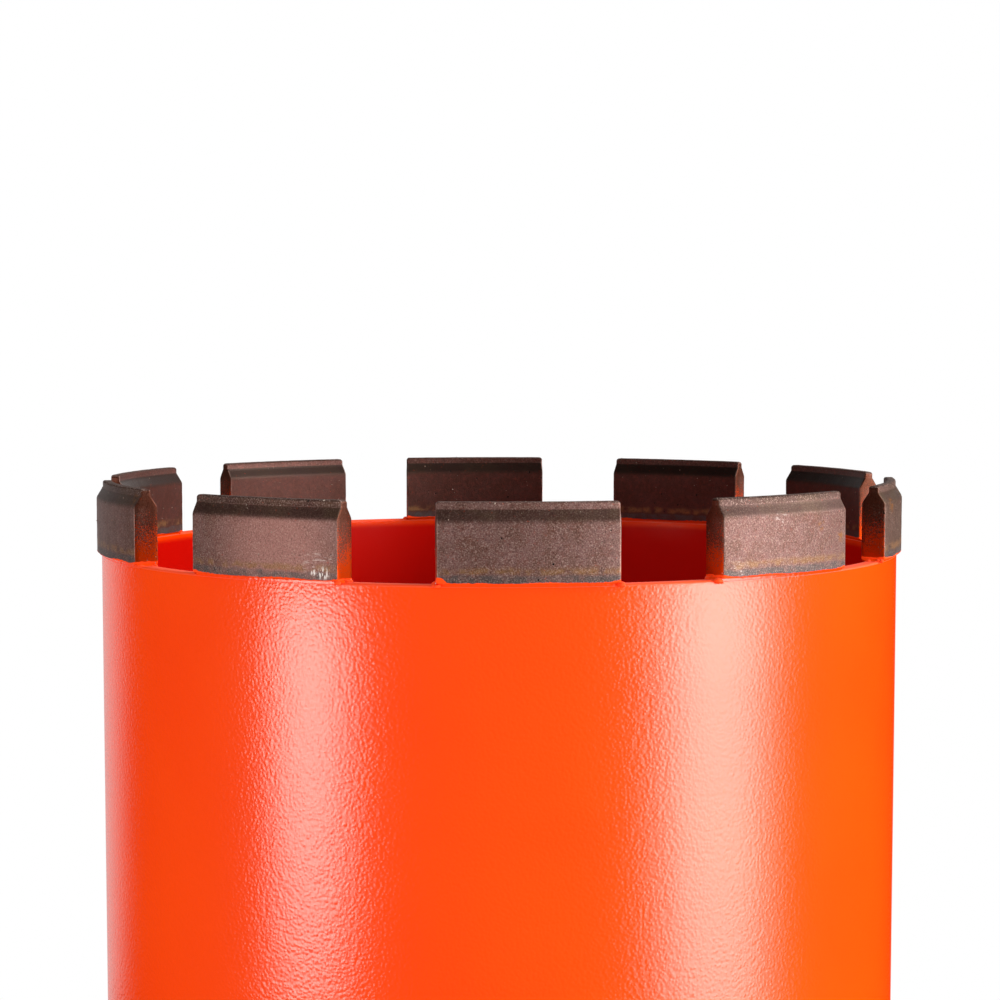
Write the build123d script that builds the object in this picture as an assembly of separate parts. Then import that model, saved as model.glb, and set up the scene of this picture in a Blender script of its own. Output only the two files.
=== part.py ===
from build123d import *

import os
from math import asin, degrees, radians, tan

# Millimetres. The bit stands on the end face of its hub at z = 0, with its
# axis on Z and its cutting crown at the top.

# Crown: the ring of cutting segments.
crown_diameter = 122.0  # over the outer faces of the segments
segment_count = 10
segment_length = 24.0  # between the two end faces
segment_thickness = 3.3
segment_height = 10.5  # from the weld seam to the ridge
segment_proud = 0.7  # how far a segment stands out from the tube's wall

# Roof of a segment: a steep slope each side, up to a narrow ridge.
ridge_width = 1.4
ridge_height = 0.95  # straight sides of the ridge, above the slopes
slope_angle = 58.0  # of the slopes, from the horizontal
shoulder_radius = 1.0

# Barrel: the steel tube.
tube_wall = 2.0
barrel_length = 450.0

# Weld between each segment and the rim of the tube.
seam_height = 0.3  # layer of weld between the rim and the segment's foot
bead_drop = 1.0  # how far a bead runs down the wall of the tube
bead_run_out = 0.6  # how far the weld runs on past each end of a segment

# End plate: a turned disc with a spigot that centres it in the tube.
plate_thickness = 8.0
plate_chamfer = 2.0
spigot_depth = 4.0
spigot_clearance = 0.1
groove_leg = 1.5  # each side of the V-groove that the ring weld fills
ring_weld_crown = 0.4  # how far the ring weld stands out of its groove
ring_weld_flat = 1.6  # width of its flat crest

# Hub: turned bar with two wrench flats, bored for a 1-1/4"-7 UNC thread.
hub_diameter = 45.0
hub_length = 40.0  # below the end plate
hub_chamfer = 1.0
flats_width = 41.0
flats_height = 25.0
thread_minor_diameter = 27.9
mouth_diameter = 33.0
hub_spigot_diameter = 36.0
hub_spigot_clearance = 0.05
hub_weld_leg = 5.0

# Radii and heights that follow from the values above.
crown_radius = crown_diameter / 2
segment_inner_radius = crown_radius - segment_thickness
tube_outer_radius = crown_radius - segment_proud
tube_inner_radius = tube_outer_radius - tube_wall
hub_radius = hub_diameter / 2
hub_spigot_radius = hub_spigot_diameter / 2
plate_bore_radius = hub_spigot_radius + hub_spigot_clearance
bore_radius = thread_minor_diameter / 2
plate_bottom = hub_length
tube_bottom = plate_bottom + plate_thickness
spigot_top = tube_bottom + spigot_depth
rim = tube_bottom + barrel_length
segment_foot = rim + seam_height
crown_top = segment_foot + segment_height
pitch_angle = 360 / segment_count


def section(*points):
    """Face in the XZ plane through (radius, height) points."""
    return make_face(Plane.XZ * Polyline(*points, close=True))


def rounded(face, radius, *points):
    """Rounds the corners of a section that lie at the given (radius, height) points."""
    for r, z in points:
        corner = face.vertices().sort_by_distance((r, 0, z))[0]
        face = fillet(corner, radius)
    return face


def sector(face, half_angle):
    """Revolves a section about Z, by half_angle to each side of -Y."""
    return Rot(0, 0, -90 - half_angle) * revolve(face, Axis.Z, 2 * half_angle)


def half_angle_at(radius, half_length):
    """Angle from -Y at which a chord of that half length meets the radius, in degrees."""
    return degrees(asin(half_length / radius))


def make_barrel():
    """Tube, chamfered at its lower end for the ring weld, with a square rim."""
    return revolve(
        section(
            (tube_inner_radius, tube_bottom),
            (tube_outer_radius - groove_leg, tube_bottom),
            (tube_outer_radius, tube_bottom + groove_leg),
            (tube_outer_radius, rim),
            (tube_inner_radius, rim),
        ),
        Axis.Z,
    )


def make_end_plate():
    """Disc with a spigot that enters the tube, bored for the hub's spigot."""
    spigot_radius = tube_inner_radius - spigot_clearance
    return revolve(
        section(
            (plate_bore_radius, plate_bottom),
            (tube_outer_radius - plate_chamfer, plate_bottom),
            (tube_outer_radius, plate_bottom + plate_chamfer),
            (tube_outer_radius, tube_bottom - groove_leg),
            (tube_outer_radius - groove_leg, tube_bottom),
            (spigot_radius, tube_bottom),
            (spigot_radius, spigot_top),
            (plate_bore_radius, spigot_top),
        ),
        Axis.Z,
    )


def make_plate_weld():
    """Ring weld that fills the V-groove between the end plate and the tube."""
    crest_radius = tube_outer_radius + ring_weld_crown
    return revolve(
        section(
            (tube_outer_radius - groove_leg, tube_bottom),
            (tube_outer_radius, tube_bottom - groove_leg),
            (crest_radius, tube_bottom - ring_weld_flat / 2),
            (crest_radius, tube_bottom + ring_weld_flat / 2),
            (tube_outer_radius, tube_bottom + groove_leg),
        ),
        Axis.Z,
    )


def make_threaded_hub():
    """Turned hub: a shoulder against the end plate, a spigot through it and two wrench flats."""
    mouth_radius = mouth_diameter / 2
    mouth_depth = mouth_radius - bore_radius
    turned = revolve(
        section(
            (mouth_radius, 0),
            (hub_radius - hub_chamfer, 0),
            (hub_radius, hub_chamfer),
            (hub_radius, plate_bottom),
            (hub_spigot_radius, plate_bottom),
            (hub_spigot_radius, spigot_top),
            (bore_radius, spigot_top),
            (bore_radius, mouth_depth),
        ),
        Axis.Z,
    )
    slab = Box(flats_width, hub_diameter, flats_height, align=(Align.CENTER, Align.CENTER, Align.MIN))
    above = Pos(0, 0, flats_height) * Cylinder(
        hub_radius, spigot_top - flats_height, align=(Align.CENTER, Align.CENTER, Align.MIN)
    )
    return turned & (slab + above)


def make_hub_weld():
    """Fillet weld round the hub, against the underside of the end plate."""
    return revolve(
        section(
            (hub_radius, plate_bottom),
            (hub_radius, plate_bottom - hub_weld_leg),
            (hub_radius + hub_weld_leg, plate_bottom),
        ),
        Axis.Z,
    )


def make_segment():
    """Cutting segment on -Y: an arc of roof-shaped section, cut off by two parallel ends."""
    half_ridge = ridge_width / 2
    slope_run = segment_thickness / 2 - half_ridge
    neck = crown_top - ridge_height
    shoulder = neck - slope_run * tan(radians(slope_angle))
    flank = [
        (segment_thickness / 2, segment_foot),
        (segment_thickness / 2, shoulder),
        (half_ridge, neck),
        (half_ridge, crown_top),
    ]
    middle = crown_radius - segment_thickness / 2
    outer_flank = [(middle + offset, z) for offset, z in flank]
    inner_flank = [(middle - offset, z) for offset, z in reversed(flank)]
    roof = section(*outer_flank, *inner_flank)
    roof = rounded(roof, shoulder_radius, (crown_radius, shoulder), (segment_inner_radius, shoulder))

    half_length = segment_length / 2
    front = section(
        (-half_length, segment_foot),
        (half_length, segment_foot),
        (half_length, crown_top),
        (-half_length, crown_top),
    )
    over_long = sector(roof, half_angle_at(segment_inner_radius, segment_length))
    return over_long & extrude(front, crown_diameter)


def make_segment_weld():
    """Weld under a segment on -Y: a thin seam on the rim and a bead down each wall of the tube."""
    face = section(
        (segment_inner_radius, segment_foot),
        (tube_inner_radius, rim - bead_drop),
        (tube_inner_radius, rim),
        (tube_outer_radius, rim),
        (tube_outer_radius, rim - bead_drop),
        (crown_radius, segment_foot),
    )
    return sector(face, half_angle_at(crown_radius, segment_length / 2 + bead_run_out))


def write(solid, node):
    """Writes one sub-part to parts/ under its node's name."""
    export_step(solid, f"parts/{node}.step")


os.makedirs("parts", exist_ok=True)
write(make_barrel(), "barrel")
write(make_end_plate(), "end_plate")
write(make_plate_weld(), "plate_weld")
write(make_threaded_hub(), "threaded_hub")
write(make_hub_weld(), "hub_weld")
segment = make_segment()
segment_weld = make_segment_weld()
for number in range(segment_count):
    turn = Rot(0, 0, number * pitch_angle)
    write(turn * segment, f"segment_{number + 1:02d}")
    write(turn * segment_weld, f"segment_weld_{number + 1:02d}")
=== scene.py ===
import math
import random

import bmesh
import bpy
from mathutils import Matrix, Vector


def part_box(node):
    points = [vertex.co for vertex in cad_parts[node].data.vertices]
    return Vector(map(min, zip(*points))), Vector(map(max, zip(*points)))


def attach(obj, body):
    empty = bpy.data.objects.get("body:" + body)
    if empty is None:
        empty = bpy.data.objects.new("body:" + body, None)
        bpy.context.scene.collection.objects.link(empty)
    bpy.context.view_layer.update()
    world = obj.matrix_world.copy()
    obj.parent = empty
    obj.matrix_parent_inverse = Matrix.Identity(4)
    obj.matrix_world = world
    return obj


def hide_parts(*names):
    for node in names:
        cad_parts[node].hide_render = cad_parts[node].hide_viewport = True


# Diamond core bit, standing on the end of its hub with the cutting crown up.
# Everything is in metres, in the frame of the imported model.

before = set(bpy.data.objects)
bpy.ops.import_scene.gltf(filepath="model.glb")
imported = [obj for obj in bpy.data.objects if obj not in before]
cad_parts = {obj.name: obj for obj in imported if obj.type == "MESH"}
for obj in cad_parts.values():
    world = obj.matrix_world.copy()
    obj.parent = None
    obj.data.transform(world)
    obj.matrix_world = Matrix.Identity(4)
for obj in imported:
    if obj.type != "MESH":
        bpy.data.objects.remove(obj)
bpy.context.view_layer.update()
mm = 0.001
fullTurn = 2 * math.pi
mergeGap = 0.0005 * mm  # points closer than this become one

barrelLow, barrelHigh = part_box("barrel")
plateLow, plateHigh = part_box("end_plate")
ringWeldLow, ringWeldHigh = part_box("plate_weld")
hubLow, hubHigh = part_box("threaded_hub")
hubWeldLow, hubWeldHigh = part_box("hub_weld")
segmentLow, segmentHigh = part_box("segment_01")
beadLow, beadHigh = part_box("segment_weld_01")

tubeRadius = barrelHigh.x
rimZ = barrelHigh.z
tubeFootZ = barrelLow.z
crownRadius = -segmentLow.y
segmentFootZ = segmentLow.z
segmentHeight = segmentHigh.z - segmentFootZ
halfSegment = segmentHigh.x
hubRadius = hubHigh.x
plateBottomZ = plateLow.z

print("stage: frame loaded")


class Wire:  # a node's output, so that node maths reads as Python
    def __init__(self, tree, socket):
        self.tree = tree
        self.socket = socket

    def out(self, name):  # another output of the same node
        return Wire(self.tree, self.socket.node.outputs[name])

    def maths(self, operation, *values):
        return addNode(self.tree, "ShaderNodeMath", {"operation": operation}, [self, *values])

    def __add__(self, other):
        return self.maths("ADD", other)

    __radd__ = __add__

    def __sub__(self, other):
        return self.maths("SUBTRACT", other)

    def __rsub__(self, other):
        return addNode(self.tree, "ShaderNodeMath", {"operation": "SUBTRACT"}, [other, self])

    def __mul__(self, other):
        return self.maths("MULTIPLY", other)

    __rmul__ = __mul__

    def __truediv__(self, other):
        return self.maths("DIVIDE", other)

    def __rtruediv__(self, other):
        return addNode(self.tree, "ShaderNodeMath", {"operation": "DIVIDE"}, [other, self])

    def __mod__(self, other):
        return self.maths("FLOORED_MODULO", other)


def addNode(tree, kind, settings=None, inputs=None):
    node = tree.nodes.new(kind)
    for name, value in (settings or {}).items():
        setattr(node, name, value)
    pairs = enumerate(inputs) if isinstance(inputs, (list, tuple)) else (inputs or {}).items()
    for name, value in pairs:
        if isinstance(value, Wire):
            tree.links.new(value.socket, node.inputs[name])
        else:
            node.inputs[name].default_value = value
    shown = [socket for socket in node.outputs if socket.enabled]
    return Wire(tree, shown[0]) if shown else None


def ramp(value, low, high):  # 0 at low and 1 at high, with soft ends
    settings = {"interpolation_type": "SMOOTHSTEP"}
    inputs = {"Value": value, "From Min": low, "From Max": high, "To Min": 0.0, "To Max": 1.0}
    if low > high:
        inputs.update({"From Min": high, "From Max": low, "To Min": 1.0, "To Max": 0.0})
    return addNode(value.tree, "ShaderNodeMapRange", settings, inputs)


def mixColours(amount, first, second):
    places = {"Factor": amount, 6: first, 7: second}  # 6 and 7 are the two colours
    return addNode(amount.tree, "ShaderNodeMix", {"data_type": "RGBA"}, places)


def parted(vector):  # its three parts
    split = addNode(vector.tree, "ShaderNodeSeparateXYZ", {}, {"Vector": vector})
    return split.out("X"), split.out("Y"), split.out("Z")


def fromAxis(x, y):
    return (x * x + y * y).maths("SQRT")


def colour(red, green, blue):  # 0 to 255 on a screen, to the shader's linear values
    def linear(value):
        value = value / 255
        return value / 12.92 if value <= 0.04045 else ((value + 0.055) / 1.055) ** 2.4

    return linear(red), linear(green), linear(blue), 1.0


def noiseOn(place, size, detail=2.0, rough=0.5, stretch=None):  # size is that of one lump
    if stretch:
        place = addNode(place.tree, "ShaderNodeVectorMath", {"operation": "MULTIPLY"}, [place, stretch])
    inputs = {"Vector": place, "Scale": 1 / size, "Detail": detail, "Roughness": rough}
    return addNode(place.tree, "ShaderNodeTexNoise", {}, inputs)


def bumped(height):
    inputs = {"Strength": 1.0, "Distance": 1.0, "Height": height}
    return addNode(height.tree, "ShaderNodeBump", {}, inputs)


def newMaterial(name):
    material = bpy.data.materials.new(name)
    material.use_nodes = True
    tree = material.node_tree
    tree.nodes.clear()
    place = addNode(tree, "ShaderNodeTexCoord").out("Object")
    return material, tree, place


def finishMaterial(tree, inputs):
    surface = addNode(tree, "ShaderNodeBsdfPrincipled", {}, inputs)
    addNode(tree, "ShaderNodeOutputMaterial", {}, {"Surface": surface})


paint = {
    "colour": colour(253, 70, 0),
    "thinColour": colour(251, 66, 0),  # where the coat is thinner
    "cloud": (22 * mm, 3.0),  # size and detail of the thinner areas
    "paintedShadeInTube": colour(188, 7, 0),  # painted shade down in the tube, a deeper red than outside
    "insideFrom": (0.8 * mm, 1.6 * mm),  # in from the tube's outer wall, where that colour starts and is full
    "insideBelow": 1.5 * mm,  # below the rim, where it is full
    "roughness": 0.19,
    "rimRoughness": 0.95,
    "rimFrom": (0.35 * mm, 0.05 * mm),  # below the rim, where the rough coat starts and is full
    "insidePeel": 0.25,  # share of the relief that is left inside the tube
    "shine": 0.55,
    "peelSize": 0.42 * mm,
    "peelDepth": 0.037 * mm,
    "rippleSize": 1.6 * mm,
    "rippleDepth": 0.012 * mm,
}


def paintLook(tree, place):  # colour and bump of the powder coat, shared by all painted pieces
    thin = ramp(noiseOn(place, *paint["cloud"]), 0.3, 0.8)
    shade = mixColours(thin, paint["colour"], paint["thinColour"])
    cells = addNode(tree, "ShaderNodeTexVoronoi", {"feature": "SMOOTH_F1"}, {
        "Vector": place, "Scale": 1 / paint["peelSize"], "Smoothness": 1.0,
    })
    swell = noiseOn(place, paint["rippleSize"])
    height = swell * paint["rippleDepth"] - cells.out("Distance") * paint["peelDepth"]
    return shade, height


def makePaint(name, rimRoughness):
    material, tree, place = newMaterial(name)
    shade, height = paintLook(tree, place)
    x, y, z = parted(place)
    start, full = paint["insideFrom"]
    # inside: where the painted shade down in the tube goes, and where the relief is also less
    inside = ramp(fromAxis(x, y), tubeRadius - start, tubeRadius - full)
    inside = inside * ramp(z, rimZ, rimZ - paint["insideBelow"]) * ramp(z, tubeFootZ, tubeFootZ + mm)
    start, full = paint["rimFrom"]
    onRim = ramp(z, rimZ - start, rimZ - full)
    finishMaterial(tree, {
        "Base Color": mixColours(inside, shade, paint["paintedShadeInTube"]),
        "Roughness": onRim * (rimRoughness - paint["roughness"]) + paint["roughness"],
        "Specular IOR Level": paint["shine"],
        "Normal": bumped(height * (1 - inside * (1 - paint["insidePeel"]))),
    })
    return material


sinter = {
    "brown": colour(106, 75, 67),
    "mauve": colour(125, 93, 89),
    "rust": colour(104, 61, 41),
    # painted shade on the upward slopes and on the ridge's top
    "slope": colour(56, 34, 25),
    "olive": colour(67, 50, 34),
    "end": colour(98, 56, 42),
    # the inner faces: darker and redder, painted shade with some oxide and paint mist
    "inside": colour(70, 33, 23),
    # the inner slopes darker still: painted shade
    "shadedInsideSlope": colour(38, 20, 13),
    "gold": colour(136, 98, 62),
    "footGrey": colour(83, 75, 75),
    "wornBevelHighlight": colour(186, 152, 141),  # the bright bevel along each end: rubbed, and in part a painted highlight
    "scuff": colour(238, 234, 230),
    # the colour of a painted highlight on one segment's face
    "paintedHighlight": colour(152, 108, 101),
    "ochre": colour(150, 95, 30),
    "warm": colour(110, 59, 50),
    "salt": colour(198, 172, 162),
    "pepper": colour(38, 23, 20),
    # painted shade in the pits
    "pit": colour(9, 7, 6),
    "spray": colour(196, 62, 0),
    "strength": {  # how far each layer covers the ones under it
        "rust": 0.6, "inside": 0.8, "warm": 0.4, "paintedHighlight": 0.85, "tarnish": 0.65, "gold": 0.75,
        "slope": 0.8, "shadedInsideSlope": 0.7, "burnt": 0.75, "end": 0.8, "wornBevelHighlight": 0.4, "top": 0.6,
        "salt": 0.42, "pepper": 0.6, "dust": 0.35, "scuff": 0.85, "scratch": 0.35, "ochre": 0.55,
    },
    "noises": {  # size of one lump, detail, roughness and stretch
        "mottle": (3.0 * mm, 4.0, 0.6),
        "rusty": (5.0 * mm, 5.0, 0.65),
        "grain": (0.19 * mm, 2.0, 0.6),
        "warmth": (0.6 * mm, 2.0, 0.6),
        "patches": (1.5 * mm, 2.0),
        "wave": (2.0 * mm, 3.0),
        "dust": (0.45 * mm, 2.0, 0.7),
        "streaks": (0.3 * mm, 2.0, 0.6, (1.0, 1.0, 0.3)),
        "lines": (0.22 * mm, 2.0, 0.6, (0.2, 0.2, 1.0)),
        "dots": (0.15 * mm, 1.0),
        "drift": (2.6 * mm, 2.0),
        "ragged": (7 * mm, 1.0),
        "fray": (0.5 * mm, 2.0),
    },
    "metallic": 0.5,
    "endMetallic": 0.45,  # how much more of it the end faces have
    "topMetallic": 0.6,  # share of it that the ridge's top loses
    "shine": 0.3,
    "roughness": (0.42, 0.66),
    "topRoughness": 0.4,  # how much rougher the ridge's top is
    "grainDepth": 0.03 * mm,
    "pitSpacing": 2.6 * mm,
    "pitDepth": 0.08 * mm,
    "goldBand": (1.0 * mm, 2.4 * mm),
    "sprayReach": 7.0 * mm,  # how far up the end faces the overspray goes
    "paintLine": 0.12 * mm,  # how far the paint creeps up over the foot
    "paintRelief": 0.3,  # share of the paint's relief where it creeps up
}

faceSpots = {  # spots on the outer faces, one of them a painted highlight: segment, along it from its middle, up from its foot and reach
    "scuffs": [(9, 10.0, 0.9, 1.2), (9, 8.6, 1.0, 0.6)],
    "scratches": [(9, 8.6, 2.2, 2.2), (9, 10.6, 3.0, 1.4), (1, -9.4, 1.0, 1.8), (1, -2.2, 7.5, 1.6)],
    "smudges": [(2, -8.5, 7.6, 1.6), (1, 6.0, 6.2, 1.0), (1, 10.6, 4.4, 1.1), (8, 10.8, 9.3, 1.5)],
    # a painted highlight over segment 9's face
    "paintedHighlightSpot": [(9, 2.5, 4.5, 13.0)],
    "tarnished": [(2, 0.0, 5.0, 24.0)],
    "burnt": [(9, 0.0, 10.0, 24.0), (1, 0.0, 10.0, 24.0), (8, 0.0, 10.0, 24.0)],
    "creeping": [(0, -11.6, 0.4, 1.2), (7, 10.8, 0.4, 1.2), (2, 9.0, 0.4, 1.6)],
}
spotCore = 0.25  # share of a spot's reach that has its full strength


def spotMask(place, kind):
    mask = None
    for number, along, up, reach in faceSpots[kind]:
        a = segmentTurns()[number]
        x, y = along * mm, -math.sqrt(crownRadius ** 2 - (along * mm) ** 2)
        spot = (x * math.cos(a) - y * math.sin(a), x * math.sin(a) + y * math.cos(a), segmentFootZ + up * mm)
        away = addNode(place.tree, "ShaderNodeVectorMath", {"operation": "DISTANCE"}, [place, spot])
        here = ramp(away.out("Value"), reach * mm, reach * spotCore * mm)
        mask = here if mask is None else mask.maths("MAXIMUM", here)
    return mask


def makeSinter():
    material, tree, place = newMaterial("sinteredDiamondMetal")
    own = addNode(tree, "ShaderNodeAttribute", {"attribute_name": "segmentPlace"}).out("Vector")
    x, offset, height = parted(own)
    along = x.maths("ABSOLUTE")
    neck = segmentHeight - segmentShape["ridgeHeight"]
    half = segmentShape["thickness"] / 2
    strength = sinter["strength"]
    noise = {name: noiseOn(place, *given) for name, given in sinter["noises"].items()}

    def over(under, mask, layer, shade=None):  # one more layer, in the colour of its name or in a given one
        return mixColours(mask * strength[layer], under, sinter[layer] if shade is None else shade)

    atEnd = ramp(along, halfSegment - 0.09 * mm, halfSegment - 0.03 * mm)
    onBevel = ramp(along, halfSegment - 0.24 * mm, halfSegment - 0.16 * mm) * (1 - atEnd)
    onSlope = ramp(height, neck - 2.1 * mm, neck - 1.1 * mm) * ramp(height, neck + 0.05 * mm, neck - 0.1 * mm)
    onRidge = ramp(height, neck - 0.1 * mm, neck + 0.1 * mm)
    onTop = ramp(height, segmentHeight - 0.30 * mm, segmentHeight - 0.12 * mm)

    shade = mixColours(ramp(noise["mottle"], 0.3, 0.7), sinter["brown"], sinter["mauve"])
    shade = over(shade, ramp(noise["rusty"], 0.55, 0.75), "rust")
    # the inner faces darker and redder: painted shade, with some oxide and paint mist
    shade = over(shade, ramp(offset, 0.25 * half, -0.5 * half), "inside")
    shade = over(shade, ramp(noise["warmth"], 0.45, 0.7), "warm")
    # a painted highlight on segment 9's face
    shade = over(shade, spotMask(place, "paintedHighlightSpot"), "paintedHighlight")
    shade = over(shade, spotMask(place, "tarnished"), "tarnish", sinter["olive"])

    low, high = sinter["goldBand"]
    waved = height + (noise["wave"] - 0.5) * 0.8 * mm
    gold = ramp(waved, low, low + 0.4 * mm) * ramp(waved, high, high - 0.8 * mm)
    shade = over(shade, gold * ramp(noise["patches"], 0.35, 0.6), "gold")
    foot = ramp(waved, low + 0.2 * mm, low - 0.2 * mm) * (ramp(noise["patches"], 0.65, 0.4) * 0.5 + 0.35)
    shade = mixColours(foot, shade, sinter["footGrey"])

    # the slopes painted darker: painted shade, with olive and rust tints
    slopeShade = mixColours(ramp(noise["rusty"], 0.42, 0.62), sinter["slope"], sinter["olive"])
    shade = over(shade, onSlope, "slope", slopeShade)
    # the inner slopes darker still: painted shade
    shade = over(shade, onSlope * ramp(offset, 0, -0.3 * half), "shadedInsideSlope")
    shade = over(shade, spotMask(place, "burnt") * onRidge, "burnt", slopeShade)
    shade = over(shade, atEnd, "end")
    # a bright line along each end's bevel: wear, and in part a painted highlight
    shade = over(shade, onBevel * ramp(noise["mottle"], 0.35, 0.65), "wornBevelHighlight")
    # the ridge's top painted darker: painted shade
    shade = over(shade, onTop, "top", sinter["slope"])

    salted = (1 - onSlope * 0.7) * (1 - atEnd * 0.7) * ramp(offset, -0.8 * half, 0.2 * half)
    shade = over(shade, ramp(noise["grain"], 0.50, 0.72) * salted, "salt")
    shade = over(shade, ramp(noise["grain"], 0.48, 0.28), "pepper")
    pits = addNode(tree, "ShaderNodeTexVoronoi", {"feature": "F1"}, {
        "Vector": place, "Scale": 1 / sinter["pitSpacing"],
    })
    # the pits near black: painted shade in the holes
    pit = ramp(pits.out("Distance"), 0.07, 0.04)
    shade = mixColours(pit, shade, sinter["pit"])
    dust = ramp(noise["dust"], 0.64, 0.74) * ramp(noise["patches"], 0.4, 0.65)
    shade = over(shade, dust, "dust", sinter["spray"])
    shade = over(shade, spotMask(place, "scuffs") * ramp(noise["streaks"], 0.46, 0.58), "scuff")
    scratched = spotMask(place, "scratches") * ramp(noise["lines"], 0.56, 0.66)
    shade = over(shade, scratched, "scratch", sinter["scuff"])
    shade = over(shade, spotMask(place, "smudges") * ramp(noise["warmth"], 0.4, 0.6), "ochre")

    drift = (noise["drift"] - 0.5) * 0.7
    fade = 1 - height / sinter["sprayReach"]
    spray = ramp(noise["dots"] + (fade + drift) * 0.40 - 0.14, 0.47, 0.65) * atEnd
    nearEnd = ramp(along, halfSegment - 1.6 * mm, halfSegment)
    ragged = (noise["ragged"] - 0.5) * 0.7 * mm + (noise["fray"] - 0.5) * 0.3 * mm
    creep = height - nearEnd * 0.2 * mm - ragged - spotMask(place, "creeping") * 0.5 * mm
    creep = ramp(creep, sinter["paintLine"] + 0.06 * mm, sinter["paintLine"] - 0.06 * mm)
    painted = spray.maths("MAXIMUM", creep)
    paintShade, paintHeight = paintLook(tree, place)
    paintShade = mixColours(spray * (1 - creep), paintShade, sinter["spray"])

    relief = noise["grain"] * sinter["grainDepth"] * (1 - painted)
    relief = relief + paintHeight * painted * sinter["paintRelief"] - pit * sinter["pitDepth"]
    smooth, rough = sinter["roughness"]
    bareRoughness = noise["grain"] * (rough - smooth) + smooth + onTop * sinter["topRoughness"]
    bareMetal = (1 - onTop * sinter["topMetallic"]) * (atEnd * sinter["endMetallic"] + sinter["metallic"])
    finishMaterial(tree, {
        "Base Color": mixColours(painted, shade, paintShade),
        "Specular IOR Level": sinter["shine"],
        "Metallic": (1 - creep) * bareMetal,
        "Roughness": bareRoughness * (1 - creep) + creep * paint["rimRoughness"],
        "Normal": bumped(relief),
    })
    return material


grit = {
    "pale": colour(184, 168, 154),
    "dark": colour(128, 100, 88),
    "metallic": 0.35,
    "roughness": 0.22,
}


def makeGrit():
    material, tree, place = newMaterial("diamondGrit")
    darker = ramp(noiseOn(place, 1.0 * mm, 1.0), 0.4, 0.65)
    finishMaterial(tree, {
        "Base Color": mixColours(darker, grit["pale"], grit["dark"]),
        "Metallic": grit["metallic"],
        "Roughness": grit["roughness"],
    })
    return material


steel = {
    "colour": colour(137, 137, 139),
    "dark": colour(104, 102, 102),
    "roughness": 0.34,
    "toolMarks": (0.35 * mm, 2.0, 0.5, (0.12, 0.12, 1.0)),
    "toolMarkDepth": 0.012 * mm,
    "paintedFrom": 0.35 * mm,  # the paint starts this far up from the bare end face
}


def makeHubFinish():
    material, tree, place = newMaterial("hubSteelAndPaint")
    x, y, z = parted(place)
    shade, height = paintLook(tree, place)
    edge = (noiseOn(place, 2.0 * mm) - 0.5) * 0.5 * mm
    outside = ramp(fromAxis(x, y), threadShape["mouth"] + 0.2 * mm, threadShape["mouth"] + 0.5 * mm)
    above = ramp(z + edge, steel["paintedFrom"] - 0.15 * mm, steel["paintedFrom"] + 0.15 * mm)
    painted = outside * above
    bare = mixColours(ramp(noiseOn(place, 4 * mm, 4.0), 0.35, 0.7), steel["colour"], steel["dark"])
    marks = noiseOn(place, *steel["toolMarks"]) * steel["toolMarkDepth"]
    finishMaterial(tree, {
        "Base Color": mixColours(painted, bare, shade),
        "Metallic": 1 - painted,
        "Roughness": painted * (paint["roughness"] - steel["roughness"]) + steel["roughness"],
        "Normal": bumped(height * painted + marks * (1 - painted)),
    })
    return material


def arc(centre, radius, start, end, steps):  # points on a round corner, angles in radians
    angles = [start + (end - start) * step / steps for step in range(steps + 1)]
    return [(centre[0] + radius * math.cos(a), centre[1] + radius * math.sin(a)) for a in angles]


def spaced(start, end, step):  # points from start up to, but without, end
    count = max(1, round(math.dist(start, end) / step))
    return [tuple(s + (e - s) * k / count for s, e in zip(start, end)) for k in range(count)]


def gridFaces(rows, columns, first=0, wrapColumns=False, wrapRows=False):
    faces = []
    for row in range(rows if wrapRows else rows - 1):
        for column in range(columns if wrapColumns else columns - 1):
            nextRow, nextColumn = (row + 1) % rows, (column + 1) % columns
            faces.append([
                first + row * columns + column,
                first + row * columns + nextColumn,
                first + nextRow * columns + nextColumn,
                first + nextRow * columns + column,
            ])
    return faces


def makeMesh(name, points, faces, sharpAngle=35.0):  # edges bent more than that many degrees stay sharp
    mesh = bpy.data.meshes.new(name)
    mesh.from_pydata(points, [], faces)
    work = bmesh.new()
    work.from_mesh(mesh)
    bmesh.ops.remove_doubles(work, verts=work.verts, dist=mergeGap)
    bmesh.ops.dissolve_degenerate(work, edges=work.edges, dist=mergeGap)
    bmesh.ops.recalc_face_normals(work, faces=work.faces)
    for face in work.faces:
        face.smooth = True
    for edge in work.edges:
        edge.smooth = len(edge.link_faces) == 2 and edge.calc_face_angle(0) < math.radians(sharpAngle)
    work.to_mesh(mesh)
    work.free()
    return mesh


def addPiece(name, mesh, material, nodes):
    mesh.materials.clear()
    mesh.materials.append(material)
    piece = bpy.data.objects.new(name, mesh)
    bpy.context.scene.collection.objects.link(piece)
    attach(piece, "root")
    if nodes:
        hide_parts(*nodes)
    return piece


def lathe(outline, columns):  # closed (radius, z) outline turned about the axis
    points, count = [], len(outline)
    for radius, z in outline:
        for column in range(columns):
            a = fullTurn * column / columns
            points.append((radius * math.cos(a), radius * math.sin(a), z))
    return points, gridFaces(count, columns, wrapColumns=True, wrapRows=True)


def throughNodes(name, mesh, tree, settings):  # the mesh that a Geometry Nodes tree makes of this one
    holder = bpy.data.objects.new(name, mesh)
    bpy.context.scene.collection.objects.link(holder)
    modifier = holder.modifiers.new(name, "NODES")
    modifier.node_group = tree
    for item in tree.interface.items_tree:
        if item.item_type == "SOCKET" and item.in_out == "INPUT" and item.name in settings:
            modifier[item.identifier] = settings[item.name]
    graph = bpy.context.evaluated_depsgraph_get()
    result = bpy.data.meshes.new_from_object(holder.evaluated_get(graph), depsgraph=graph)
    bpy.data.objects.remove(holder)
    return result


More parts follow.
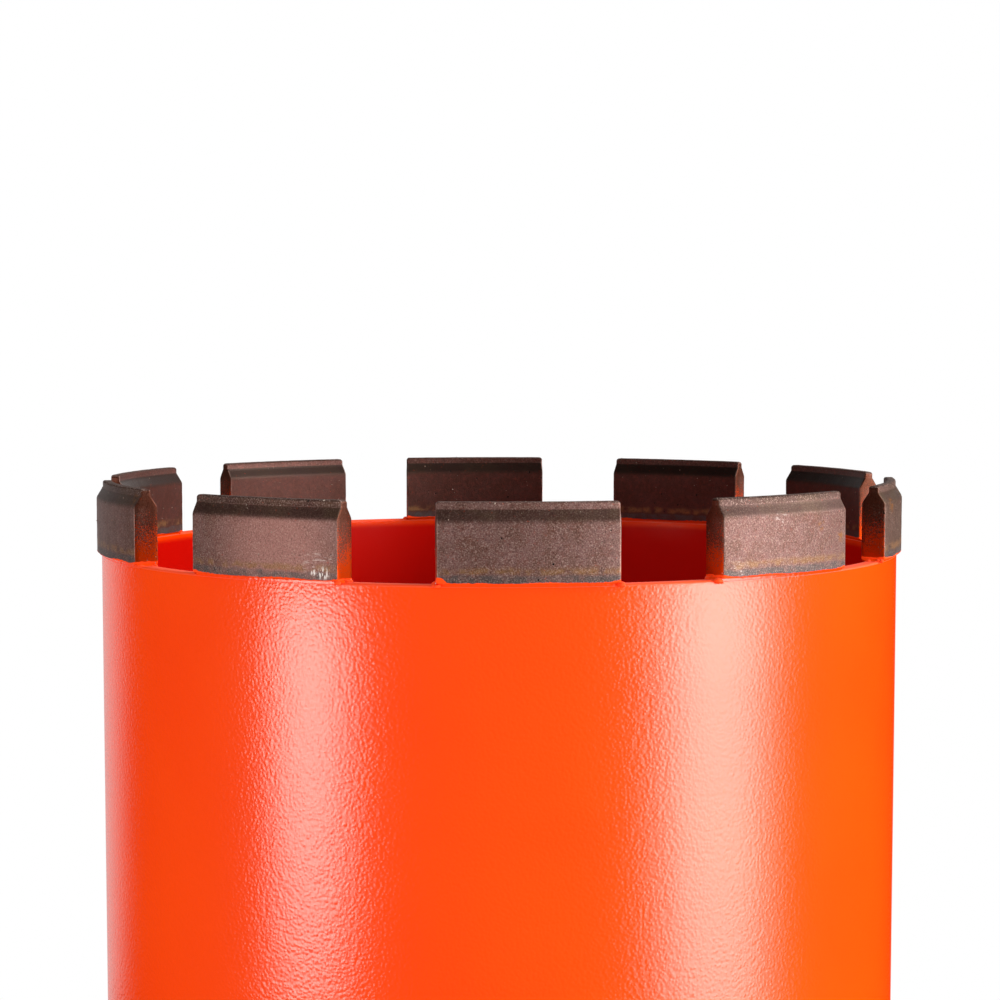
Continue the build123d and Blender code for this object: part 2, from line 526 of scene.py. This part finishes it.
def newTree(name, *numbers, **others):  # a Geometry Nodes tree with these named inputs
    tree = bpy.data.node_groups.new(name, "GeometryNodeTree")
    tree.interface.new_socket("Geometry", in_out="INPUT", socket_type="NodeSocketGeometry")
    tree.interface.new_socket("Geometry", in_out="OUTPUT", socket_type="NodeSocketGeometry")
    for label, kind in {**dict.fromkeys(numbers, "NodeSocketFloat"), **others}.items():
        tree.interface.new_socket(label, in_out="INPUT", socket_type=kind)
    return tree, addNode(tree, "NodeGroupInput")


def pushedOut(tree, geometry, amount):  # the surface moved along its normals
    normal = addNode(tree, "GeometryNodeInputNormal")
    offset = addNode(tree, "ShaderNodeVectorMath", {"operation": "SCALE"}, {"Vector": normal, "Scale": amount})
    return addNode(tree, "GeometryNodeSetPosition", {}, {"Geometry": geometry, "Offset": offset})


def closeTree(tree, geometry, material):
    realized = addNode(tree, "GeometryNodeRealizeInstances", {}, {"Geometry": geometry})
    dressed = addNode(tree, "GeometryNodeSetMaterial", {}, {"Geometry": realized, "Material": material})
    addNode(tree, "NodeGroupOutput", {}, {"Geometry": dressed})


barrelShape = {
    "wall": 2.0 * mm,
    "columns": 360,
    "rimOuterRound": 0.30 * mm,
    "rimInnerRound": 0.22 * mm,
    "rimSteps": (5, 4),  # in the outer and the inner round
    "footChamfer": 1.5 * mm,
    "rowHeight": 15 * mm,
}


def makeBarrel(material):
    s = barrelShape
    inner = tubeRadius - s["wall"]
    outerRound, innerRound = s["rimOuterRound"], s["rimInnerRound"]
    outerSteps, innerSteps = s["rimSteps"]
    outline = [(inner, tubeFootZ), (tubeRadius - s["footChamfer"], tubeFootZ)]
    wallFoot, wallTop = (tubeRadius, tubeFootZ + s["footChamfer"]), (tubeRadius, rimZ - outerRound)
    outline += spaced(wallFoot, wallTop, s["rowHeight"])
    outline += arc((tubeRadius - outerRound, rimZ - outerRound), outerRound, 0, math.pi / 2, outerSteps)
    outline += arc((inner + innerRound, rimZ - innerRound), innerRound, math.pi / 2, math.pi, innerSteps)
    outline += spaced((inner, rimZ - 2 * innerRound), (inner, tubeFootZ), s["rowHeight"])
    mesh = makeMesh("barrelTube", *lathe(outline, s["columns"]))
    return addPiece("barrelTube", mesh, material, ["barrel"])


segmentShape = {
    "count": 10,
    "thickness": 3.3 * mm,
    "ridgeWidth": 1.4 * mm,
    "ridgeHeight": 0.95 * mm,
    "slopeAngle": 58.0,
    "shoulderRound": 1.0 * mm,
    "ridgeRound": 0.30 * mm,
    "ridgeEndRound": 0.45 * mm,
    "endRound": 0.20 * mm,
    "roundSteps": 4,
    "acrossSteps": 6,
    "cell": 0.45 * mm,  # size of the mesh's cells
    "relief": 0.035 * mm,
    "reliefSize": 1.4 * mm,
    "jigErrors": (-0.42, 0.20, -0.13, 0, -0.45, 0.23, -0.54, 0, -0.20, 0.34),  # degrees off the even pitch
}


def segmentTurns():  # the angle of each segment round the axis, from the front
    pitch = fullTurn / segmentShape["count"]
    return [pitch * number + math.radians(error) for number, error in enumerate(segmentShape["jigErrors"])]


def roofFlank():  # (offset from the middle, height) from the foot's edge to the ridge's middle
    s = segmentShape
    half, ridge = s["thickness"] / 2, s["ridgeWidth"] / 2
    neck = segmentHeight - s["ridgeHeight"]
    lean = math.radians(s["slopeAngle"])
    bend = math.pi / 2 - lean
    shoulder = neck - (half - ridge) * math.tan(lean)
    start = shoulder - s["shoulderRound"] * math.tan(bend / 2)
    flank = spaced((half, 0), (half, start), s["cell"])
    flank += arc((half - s["shoulderRound"], start), s["shoulderRound"], 0, bend, s["roundSteps"])
    slopeStart = flank.pop()
    flank += spaced(slopeStart, (ridge, neck), s["cell"])
    flank += spaced((ridge, neck), (ridge, segmentHeight - s["ridgeRound"]), s["cell"])
    crest = (ridge - s["ridgeRound"], segmentHeight - s["ridgeRound"])
    flank += arc(crest, s["ridgeRound"], 0, math.pi / 2, s["roundSteps"])
    return flank + [(0, segmentHeight)]


def outwardOf(points):  # unit normals along a flank that runs upwards
    normals = []
    for k in range(len(points)):
        before, after = points[max(k - 1, 0)], points[min(k + 1, len(points) - 1)]
        across, up = after[0] - before[0], after[1] - before[1]
        length = math.hypot(across, up)
        normals.append((up / length, -across / length))
    normals[0], normals[-1] = (1, 0), (0, 1)
    return normals


def segmentStations():  # (place along the segment, how far the section is drawn in there)
    s = segmentShape
    r = s["endRound"]
    ends = [(halfSegment - r + r * math.cos(a), r - r * math.sin(a)) for a in (0, math.pi / 6, math.pi / 3)]
    ends += [(halfSegment - step, 0) for step in (r, (r + s["ridgeEndRound"]) / 2, s["ridgeEndRound"])]
    start = ends[-1][0]
    middle = [(-place[0], 0) for place in spaced((start, 0), (-start, 0), s["cell"])][1:]
    return [(-x, inset) for x, inset in ends] + middle + list(reversed(ends))


def makeSegmentMesh():
    s = segmentShape
    flank = roofFlank()
    normals = outwardOf(flank)
    neck = segmentHeight - s["ridgeHeight"]
    middleRadius = crownRadius - s["thickness"] / 2
    acrossSteps = s["acrossSteps"]

    def onSegment(x, offset, height):
        return x, -math.sqrt((middleRadius + offset) ** 2 - x * x), segmentFootZ + height

    def flankAt(x, inset):
        beyond = max(0.0, abs(x) - (halfSegment - s["ridgeEndRound"]))
        drop = s["ridgeEndRound"] - math.sqrt(max(0.0, s["ridgeEndRound"] ** 2 - beyond ** 2))
        drop = max(0.0, drop - inset)
        points = []
        for (offset, height), (across, up) in zip(flank, normals):
            lowered = drop * max(0.0, (height - neck) / s["ridgeHeight"])
            points.append((max(0.0, offset - inset * across), height - inset * up - lowered))
        return points

    stations = segmentStations()
    points = []
    for x, inset in stations:
        outer = flankAt(x, inset)
        base = [(outer[0][0] * k / acrossSteps * 2, 0) for k in range(acrossSteps // 2)]
        loop = base + outer + [(-offset, height) for offset, height in reversed(outer[:-1])]
        loop += [(-offset, height) for offset, height in reversed(base[1:])]
        points += [onSegment(x, offset, height) for offset, height in loop]
    faces = gridFaces(len(stations), len(loop), wrapColumns=True)

    for x, inset in (stations[0], stations[-1]):
        side = flankAt(x, inset)
        first = len(points)
        for offset, height in side:
            for k in range(acrossSteps + 1):
                points.append(onSegment(x, offset * (1 - 2 * k / acrossSteps), height))
        faces += gridFaces(len(side), acrossSteps + 1, first)
    mesh = makeMesh("segmentPattern", points, faces)
    places = mesh.attributes.new("segmentPlace", "FLOAT_VECTOR", "POINT")  # along, across and up
    for vertex, place in zip(mesh.vertices, places.data):
        x, y, z = vertex.co
        place.vector = (x, math.hypot(x, y) - middleRadius, z - segmentFootZ)
    return mesh


def makeSegmentTree(material):  # a copy of the segment for each point, turned by that point's "turn"
    tree, given = newTree("segmentRing", "Relief", "Relief Size", Segment="NodeSocketObject")
    pattern = addNode(tree, "GeometryNodeObjectInfo", {"transform_space": "ORIGINAL"}, {
        "Object": given.out("Segment"),
    })
    turn = addNode(tree, "GeometryNodeInputNamedAttribute", {"data_type": "FLOAT"}, {"Name": "turn"})
    ring = addNode(tree, "GeometryNodeInstanceOnPoints", {}, {
        "Points": given.out("Geometry"),
        "Instance": pattern.out("Geometry"),
        "Rotation": addNode(tree, "ShaderNodeCombineXYZ", {}, {"Z": turn}),
    })
    ring = addNode(tree, "GeometryNodeRealizeInstances", {}, {"Geometry": ring})
    rough = noiseOn(addNode(tree, "GeometryNodeInputPosition"), given.out("Relief Size"), 3.0)
    ring = pushedOut(tree, ring, (rough - 0.5) * given.out("Relief") * 2)
    closeTree(tree, ring, material)
    return tree


def makeSegments(material):
    s = segmentShape
    pattern = bpy.data.objects.new("segmentPattern", makeSegmentMesh())
    bpy.context.scene.collection.objects.link(pattern)
    spots = bpy.data.meshes.new("segmentSpots")
    spots.from_pydata([(0, 0, 0)] * s["count"], [], [])
    spots.attributes.new("turn", "FLOAT", "POINT").data.foreach_set("value", segmentTurns())
    settings = {"Segment": pattern, "Relief": s["relief"], "Relief Size": s["reliefSize"]}
    mesh = throughNodes("segmentRing", spots, makeSegmentTree(material), settings)
    bpy.data.objects.remove(pattern)
    nodes = [f"segment_{number + 1:02d}" for number in range(s["count"])]
    return addPiece("cuttingSegments", mesh, material, nodes)


gritShape = {
    "perSquareMetre": 0.25e6,
    "smallest": 0.03 * mm,
    "largest": 0.13 * mm,
    "smallShare": 4.0,  # the higher, the fewer large grains
    "squash": ((0.6, 0.6, 0.5), (1.0, 1.0, 0.9)),
    "segments": 5,
    "rings": 3,
    "seed": 11,
}


def makeGritPiece(carrier, material):
    s = gritShape
    tree, given = newTree("gritScatter", "Density", "Smallest", "Largest", Seed="NodeSocketInt")
    spots = addNode(tree, "GeometryNodeDistributePointsOnFaces", {}, {
        "Mesh": given.out("Geometry"), "Density": given.out("Density"), "Seed": given.out("Seed"),
    })
    ball = {"Segments": s["segments"], "Rings": s["rings"], "Radius": 1.0}

    def chance(kind, **limits):
        inputs = {**limits, "Seed": given.out("Seed")}
        return addNode(tree, "FunctionNodeRandomValue", {"data_type": kind}, inputs)

    size = chance("FLOAT").maths("POWER", s["smallShare"]) * (given.out("Largest") - given.out("Smallest"))
    least, most = s["squash"]
    scale = addNode(tree, "ShaderNodeVectorMath", {"operation": "SCALE"}, {
        "Vector": chance("FLOAT_VECTOR", Min=least, Max=most), "Scale": size + given.out("Smallest"),
    })
    grains = addNode(tree, "GeometryNodeInstanceOnPoints", {}, {
        "Points": spots,
        "Instance": addNode(tree, "GeometryNodeMeshUVSphere", {}, ball),
        "Rotation": chance("FLOAT_VECTOR", Min=(0, 0, 0), Max=(fullTurn, fullTurn, fullTurn)),
        "Scale": scale,
    })
    closeTree(tree, grains, material)
    settings = {
        "Density": s["perSquareMetre"], "Smallest": s["smallest"], "Largest": s["largest"], "Seed": s["seed"],
    }
    mesh = throughNodes("gritScatter", carrier.data.copy(), tree, settings)
    return addPiece("diamondGrit", mesh, material, [])


weldShape = {
    "beadRunOut": (beadHigh.x - halfSegment) * 0.6,
    "beadDrop": rimZ - beadLow.z,
    "beadCell": 0.22 * mm,
    "beadReach": 0.03 * mm,  # how fast the fillet under a segment thins out on its way down
    "beadRows": (0, 0.02 * mm, 0.045 * mm, 0.08 * mm, 0.13 * mm, 0.20 * mm, 0.5 * mm),
    "beadSunk": 0.03 * mm,  # the thin end of the fillet lies just inside the wall
    "beadPinch": (0.55, 0.8),  # how far the bead's end closes, across and up
    "pinchBelowRim": 0.1 * mm,  # the height it closes towards
    "beadWidth": 1.2 * mm,
    "beadPitch": 1.1 * mm,
    "beadRipple": 0.02 * mm,
    "beadUneven": 0.024 * mm,
    "beadSharpAngle": 70,
    "ringColumns": 1400,
    "ringPitch": 1.9 * mm,
    "ringRipple": 0.16 * mm,
    "ringFullness": 0.6,  # below 1, the ring weld's crest is flatter than a round one
    "hubColumns": 700,
    "hubPitch": 1.7 * mm,
    "hubRipple": 0.18 * mm,
    "hubSag": 0.25 * mm,
    "hubWidth": 0.7,  # half the width of its ripples, as a share of the fillet's leg
    "profileSteps": 12,
    "sharpAngle": 60,
    "uneven": 0.06 * mm,
    "bow": 0.9,  # how far the middle of a ripple runs ahead, in ripples
    "jitter": (4 * mm, 1.0),  # size and detail of the ripples' uneven spacing
    "jitterReach": 1.2,  # in ripples
    "lumps": (1.6 * mm, 2.0),
}


def makeRippleTree(material):  # ripples, as a welder leaves them, along beads that run round the axis
    s = weldShape
    tree, given = newTree(
        "weldRipples", "Middle Radius", "Middle Height", "Width", "Pitch", "Ripple", "Uneven",
    )
    place = addNode(tree, "GeometryNodeInputPosition")
    x, y, z = parted(place)
    run = x.maths("ARCTAN2", 0 - y) * given.out("Middle Radius")
    across = (z - given.out("Middle Height")) + (fromAxis(x, y) - given.out("Middle Radius"))
    bow = (across / given.out("Width")).maths("POWER", 2.0) * s["bow"]
    step = (run / given.out("Pitch") + bow + noiseOn(place, *s["jitter"]) * s["jitterReach"]) % 1.0
    crest = step * (1 - step) * 4
    lumps = noiseOn(place, *s["lumps"])
    push = (crest - 0.5) * given.out("Ripple") + (lumps - 0.5) * given.out("Uneven") * 2
    closeTree(tree, pushedOut(tree, given.out("Geometry"), push), material)
    return tree


def rippled(name, mesh, tree, middle, width, kind, uneven):  # middle is (radius, height)
    settings = {
        "Middle Radius": middle[0], "Middle Height": middle[1], "Width": width, "Uneven": uneven,
        "Pitch": weldShape[kind + "Pitch"], "Ripple": weldShape[kind + "Ripple"],
    }
    return throughNodes(name, mesh, tree, settings)


def makeRingWeld(tree, material):
    s = weldShape
    low, high = ringWeldLow.z, ringWeldHigh.z
    middle, half = (low + high) / 2, (high - low) / 2
    proud = ringWeldHigh.x - tubeRadius
    outline = [(tubeRadius - barrelShape["footChamfer"], middle)]
    for k in range(s["profileSteps"] + 1):
        t = math.pi * (k / s["profileSteps"] - 0.5)
        outline.append((tubeRadius + proud * math.cos(t) ** s["ringFullness"], middle + half * math.sin(t)))
    mesh = makeMesh("plateRingWeld", *lathe(outline, s["ringColumns"]), s["sharpAngle"])
    mesh = rippled("ringRipples", mesh, tree, (tubeRadius, middle), half, "ring", s["uneven"])
    return addPiece("plateRingWeld", mesh, material, ["plate_weld"])


def makeHubWeld(tree, material):
    s = weldShape
    leg = hubWeldHigh.x - hubRadius
    low, high = hubWeldLow.z, hubWeldHigh.z
    outline = [(hubRadius, high)]
    for k in range(s["profileSteps"] + 1):
        t = k / s["profileSteps"]
        sag = s["hubSag"] * math.sin(math.pi * t)
        outline.append((hubRadius + leg * t + sag, low + (high - low) * t - sag))
    mesh = makeMesh("hubFilletWeld", *lathe(outline, s["hubColumns"]), s["sharpAngle"])
    middle = (hubRadius + leg / 2, (low + high) / 2)
    mesh = rippled("hubRipples", mesh, tree, middle, leg * s["hubWidth"], "hub", s["uneven"])
    return addPiece("hubFilletWeld", mesh, material, ["hub_weld"])


def makeBeads(tree, material):  # under each segment: a seam on the rim and a bead down each wall
    s = weldShape
    inner = tubeRadius - barrelShape["wall"]
    segmentInner = crownRadius - segmentShape["thickness"]
    low = rimZ - s["beadDrop"]
    sunk = s["beadSunk"]
    drops = [*s["beadRows"], segmentFootZ - low]
    fillet = [(math.exp(-drop / s["beadReach"]), segmentFootZ - drop) for drop in drops]
    outer = [(tubeRadius - sunk + (crownRadius - tubeRadius + sunk) * out, z) for out, z in fillet]
    inside = [(inner + sunk - (inner - segmentInner + sunk) * out, z) for out, z in fillet]
    top = spaced(inside[0], outer[0], 2 * s["beadCell"])
    outline = outer + inside[:0:-1] + top
    halfLength = halfSegment + s["beadRunOut"]
    steps = round(2 * halfLength / s["beadCell"])
    middleRadius, middleZ = (inner + tubeRadius) / 2, rimZ - s["pinchBelowRim"]
    pinchAcross, pinchUp = s["beadPinch"]
    points, faces = [], []
    for turn in segmentTurns():
        first = len(points)
        for step in range(steps + 1):
            along = halfLength * (2 * step / steps - 1)
            beyond = max(0.0, abs(along) - halfSegment) / s["beadRunOut"]
            fall = 1 - math.sqrt(max(0.0, 1 - beyond ** 2))
            for radius, z in outline:
                r = radius + (middleRadius - radius) * pinchAcross * fall
                h = z + (middleZ - z) * pinchUp * fall
                a = turn + along / r
                points.append((r * math.sin(a), -r * math.cos(a), h))
        faces += gridFaces(steps + 1, len(outline), first, wrapColumns=True)
        faces.append(list(range(first, first + len(outline))))
        faces.append(list(range(len(points) - len(outline), len(points))))
    mesh = makeMesh("segmentBeads", points, faces, s["beadSharpAngle"])
    mesh = rippled("beadRipples", mesh, tree, (tubeRadius, rimZ), s["beadWidth"], "bead", s["beadUneven"])
    nodes = [f"segment_weld_{number + 1:02d}" for number in range(segmentShape["count"])]
    return addPiece("segmentBeads", mesh, material, nodes)


lumpShape = {
    "perEnd": 7,
    "sizes": (0.25 * mm, 0.55 * mm),
    "flatness": 0.7,
    "inset": (0.5 * mm, 0.25 * mm),  # from the segment's inner and outer face
    "beyondEnd": (-0.15, 0.45),  # in millimetres, as the next one is
    "aboveRim": (-0.30, 0.05),
    "rough": (0.7 * mm, 2.0),
    "uneven": 0.3 * mm,
    "seed": 4,
}


def makeLumps(material):  # thick paint over the weld at both ends of each segment
    s = lumpShape
    chance = random.Random(s["seed"])
    innerInset, outerInset = s["inset"]
    inner = crownRadius - segmentShape["thickness"]
    spots, sizes = [], []
    for turn in segmentTurns():
        for side in (-1, 1):
            for lump in range(s["perEnd"]):
                across = chance.uniform(inner + innerInset, crownRadius - outerInset)
                along = side * (halfSegment + chance.uniform(*s["beyondEnd"]) * mm)
                a = turn + along / across
                z = rimZ + chance.uniform(*s["aboveRim"]) * mm
                spots.append((across * math.sin(a), -across * math.cos(a), z))
                sizes.append(chance.uniform(*s["sizes"]))
    mesh = bpy.data.meshes.new("lumpSpots")
    mesh.from_pydata(spots, [], [])
    mesh.attributes.new("size", "FLOAT", "POINT").data.foreach_set("value", sizes)

    tree, given = newTree("paintLumps", "Uneven")
    size = addNode(tree, "GeometryNodeInputNamedAttribute", {"data_type": "FLOAT"}, {"Name": "size"})
    scale = {"X": size, "Y": size, "Z": size * s["flatness"]}
    lumps = addNode(tree, "GeometryNodeInstanceOnPoints", {}, {
        "Points": given.out("Geometry"),
        "Instance": addNode(tree, "GeometryNodeMeshIcoSphere", {}, {"Radius": 1.0, "Subdivisions": 3}),
        "Scale": addNode(tree, "ShaderNodeCombineXYZ", {}, scale),
    })
    lumps = addNode(tree, "GeometryNodeRealizeInstances", {}, {"Geometry": lumps})
    rough = noiseOn(addNode(tree, "GeometryNodeInputPosition"), *s["rough"])
    lumps = pushedOut(tree, lumps, (rough - 0.5) * given.out("Uneven"))
    lumps = addNode(tree, "GeometryNodeSetShadeSmooth", {}, {"Geometry": lumps})
    closeTree(tree, lumps, material)
    mesh = throughNodes("paintLumps", mesh, tree, {"Uneven": s["uneven"]})
    return addPiece("paintLumps", mesh, material, [])


plateShape = {
    "chamfer": 2.0 * mm,
    "bore": 18.05 * mm,
    "spigotClearance": 0.1 * mm,
    "columns": 240,
}


def makeEndPlate(material):
    s = plateShape
    spigot = tubeRadius - barrelShape["wall"] - s["spigotClearance"]
    groove = barrelShape["footChamfer"]
    outline = [
        (s["bore"], plateBottomZ),
        (tubeRadius - s["chamfer"], plateBottomZ),
        (tubeRadius, plateBottomZ + s["chamfer"]),
        (tubeRadius, tubeFootZ - groove),
        (tubeRadius - groove, tubeFootZ),
        (spigot, tubeFootZ),
        (spigot, plateHigh.z),
        (s["bore"], plateHigh.z),
    ]
    mesh = makeMesh("endPlate", *lathe(outline, s["columns"]))
    return addPiece("endPlate", mesh, material, ["end_plate"])


threadShape = {
    "pitch": 25.4 * mm / 7,
    "minor": 13.95 * mm,
    "major": 15.9 * mm,
    "mouth": 16.5 * mm,
    "innerMouth": 16.2 * mm,
    "profile": (0.25, 0.5625, 0.6875),  # in a pitch: the crest's end, the root's start and end
    "columns": 144,
}

hubShape = {
    "spigot": 18.0 * mm,
    "chamfer": 1.0 * mm,
    "flatsWidth": 41.0 * mm,
    "flatsHeight": 25.0 * mm,
}


def makeHub(material):
    s, t = hubShape, threadShape
    top = hubHigh.z
    flatEdge = math.acos(s["flatsWidth"] / 2 / hubRadius)
    angles = {fullTurn * k / t["columns"] for k in range(t["columns"])}
    angles |= {flatEdge, math.pi - flatEdge, math.pi + flatEdge, fullTurn - flatEdge}
    angles = sorted(angles)

    def ringAt(radius, z, flat=False):
        row = []
        for a in angles:
            r = min(radius, s["flatsWidth"] / 2 / max(abs(math.cos(a)), 1e-6)) if flat else radius
            row.append((r * math.cos(a), r * math.sin(a), z))
        return row

    rings = [
        ringAt(t["mouth"], 0),
        ringAt(hubRadius - s["chamfer"], 0, True),
        ringAt(hubRadius, s["chamfer"], True),
        ringAt(hubRadius, s["flatsHeight"], True),
        ringAt(hubRadius, s["flatsHeight"]),
        ringAt(hubRadius, plateBottomZ),
        ringAt(s["spigot"], plateBottomZ),
        ringAt(s["spigot"], top),
        ringAt(t["innerMouth"], top),
    ]
    points = [point for ring in rings for point in ring]
    faces = gridFaces(len(rings), len(angles), wrapColumns=True)

    # The thread: a strip that follows the helix, cut off at both ends by a cone.
    first = len(points)
    crestEnd, rootStart, rootEnd = t["profile"]
    profile = ((0.0, t["minor"]), (crestEnd, t["minor"]), (rootStart, t["major"]), (rootEnd, t["major"]))
    turns = math.ceil(top / t["pitch"]) + 1
    rows = [(turn + share, radius) for turn in range(-1, turns) for share, radius in profile]
    threadAngles = angles + [fullTurn]
    for place, radius in rows:
        for a in threadAngles:
            z = min(max(t["pitch"] * (place + a / fullTurn), 0.0), top)
            r = max(radius, t["mouth"] - z, t["innerMouth"] - (top - z))
            points.append((r * math.cos(a), r * math.sin(a), z))
    faces += gridFaces(len(rows), len(threadAngles), first)
    mesh = makeMesh("threadedHub", points, faces)
    return addPiece("threadedHub", mesh, material, ["threaded_hub"])


studio = {
    "floorRadius": 1.5,
    "floorSides": 96,
    "floorFade": (0.25, 1.0),
    "floorShade": colour(212, 212, 212),
    "floorInGloss": colour(40, 40, 40),
    "sky": 0.60,  # light from all round
    "gloss": (0.005, 0.68),  # what gloss shows: the dark side of the studio, and its white backdrop
    "backdropAngle": -165.0,  # the middle of the backdrop, round the axis from the front
    "backdropSpread": (0.80, 0.97),
    "softboxAim": (0, 0, 0.40),
    "softboxSpread": 75.0,  # of the light from each softbox, in degrees
    "softboxes": [  # name, angle round the axis, distance, height, size, watts and tint
        ("softboxLeft", -56.0, 1.1, 0.345, (0.58, 0.40), 0.65, (1.0, 0.90, 0.84)),
        ("coreLeft", -56.5, 1.08, 0.345, (0.32, 0.40), 0.33, (1.0, 0.90, 0.84)),
        ("softboxRight", 57.0, 1.1, 0.44, (0.95, 0.85), 2.1, (1.0, 0.97, 0.92)),
        ("coreRight", 56.5, 1.08, 0.36, (0.54, 0.60), 1.0, (1.0, 0.97, 0.92)),
        ("softboxSide", 84.0, 1.0, 0.96, (0.5, 0.4), 2.7, (1.0, 0.97, 0.94)),
        ("softboxRear", 165.0, 1.6, 1.1, (1.0, 1.0), 1.2, (1.0, 1.0, 1.0)),
    ],
}

cameraShape = {
    "turn": -4.114,  # round the axis from the front, in degrees
    "distance": 369.78 * mm,
    "aboveRim": 31.60 * mm,
    "pitch": 4.623,
    "lens": 86.86,
    "sensor": 36,
    "shift": (0.0008, 0.035),
    "clip": (0.01, 20),
}


def polar(angle, distance, z):  # angle from the front, to the right, in degrees
    a = math.radians(angle)
    return Vector((math.sin(a) * distance, -math.cos(a) * distance, z))


def makeFloor():
    sides, radius = studio["floorSides"], studio["floorRadius"]
    angles = [fullTurn * k / sides for k in range(sides)]
    mesh = bpy.data.meshes.new("studioFloor")
    points = [(radius * math.cos(a), radius * math.sin(a), 0) for a in angles]
    mesh.from_pydata(points, [], [list(range(sides))])
    floor = bpy.data.objects.new("studioFloor", mesh)
    bpy.context.scene.collection.objects.link(floor)
    material, tree, place = newMaterial("paleFloor")
    reach = addNode(tree, "ShaderNodeVectorMath", {"operation": "LENGTH"}, [place]).out("Value")
    rays = addNode(tree, "ShaderNodeLightPath")
    fade = ramp(reach, *studio["floorFade"]) * rays.out("Is Camera Ray")
    shade = mixColours(rays.out("Is Glossy Ray"), studio["floorShade"], studio["floorInGloss"])
    matt = addNode(tree, "ShaderNodeBsdfDiffuse", {}, {"Color": shade})
    white = addNode(tree, "ShaderNodeEmission", {}, {"Color": (1, 1, 1, 1), "Strength": 1.0})
    surface = addNode(tree, "ShaderNodeMixShader", {}, [fade, matt, white])
    addNode(tree, "ShaderNodeOutputMaterial", {}, {"Surface": surface})
    mesh.materials.append(material)


def makeSky():
    world = bpy.data.worlds.new("studioSky")
    world.use_nodes = True
    world.cycles.sampling_method = "NONE"  # so that gloss sees only what the ray type gives it
    bpy.context.scene.world = world
    tree = world.node_tree
    tree.nodes.clear()
    rays = addNode(tree, "ShaderNodeLightPath")
    glossy, camera = rays.out("Is Glossy Ray"), rays.out("Is Camera Ray")
    way = addNode(tree, "ShaderNodeTexCoord").out("Generated")
    facing = addNode(tree, "ShaderNodeVectorMath", {"operation": "DOT_PRODUCT"}, [
        way, polar(studio["backdropAngle"], 1.0, 0.0),
    ]).out("Value")
    dark, bright = studio["gloss"]
    inGloss = ramp(facing, *studio["backdropSpread"]) * (bright - dark) + dark
    strength = glossy * (inGloss - studio["sky"]) + studio["sky"]
    strength = strength * (1 - camera) + camera
    sky = addNode(tree, "ShaderNodeBackground", {}, {"Color": (1, 1, 1, 1), "Strength": strength})
    addNode(tree, "ShaderNodeOutputWorld", {}, {"Surface": sky})


def makeSoftboxes():
    for name, angle, distance, height, size, watts, tint in studio["softboxes"]:
        light = bpy.data.lights.new(name, "AREA")
        light.shape = "RECTANGLE"
        light.size, light.size_y = size
        light.energy = watts
        light.color = tint
        light.spread = math.radians(studio["softboxSpread"])
        lamp = bpy.data.objects.new(name, light)
        bpy.context.scene.collection.objects.link(lamp)
        lamp.location = polar(angle, distance, height)
        aim = Vector(studio["softboxAim"]) - lamp.location
        lamp.rotation_euler = aim.to_track_quat("-Z", "Y").to_euler()


def makeCamera():
    c = cameraShape
    data = bpy.data.cameras.new("camera")
    data.sensor_width = c["sensor"]
    data.lens = c["lens"]
    data.shift_x, data.shift_y = c["shift"]
    data.clip_start, data.clip_end = c["clip"]
    camera = bpy.data.objects.new("camera", data)
    bpy.context.scene.collection.objects.link(camera)
    camera.location = polar(c["turn"], c["distance"], rimZ + c["aboveRim"])
    camera.rotation_euler = (math.radians(90 - c["pitch"]), 0, math.radians(c["turn"]))
    bpy.context.scene.camera = camera


powderCoat = makePaint("orangePowderCoat", paint["rimRoughness"])
beadCoat = makePaint("orangeBeadCoat", paint["roughness"])
sinteredMetal = makeSinter()
hubFinish = makeHubFinish()
rippleTree = makeRippleTree(powderCoat)
beadTree = makeRippleTree(beadCoat)
print("stage: materials made")

makeBarrel(powderCoat)
makeEndPlate(powderCoat)
makeHub(hubFinish)
print("stage: barrel, end plate and hub made")

makeRingWeld(rippleTree, powderCoat)
makeHubWeld(rippleTree, powderCoat)
makeBeads(beadTree, beadCoat)
makeLumps(powderCoat)
print("stage: welds made")

crown = makeSegments(sinteredMetal)
makeGritPiece(crown, makeGrit())
print("stage: crown made")

makeFloor()
makeSky()
makeSoftboxes()
makeCamera()
bpy.context.scene.view_settings.view_transform = "Standard"
print("stage: studio set")
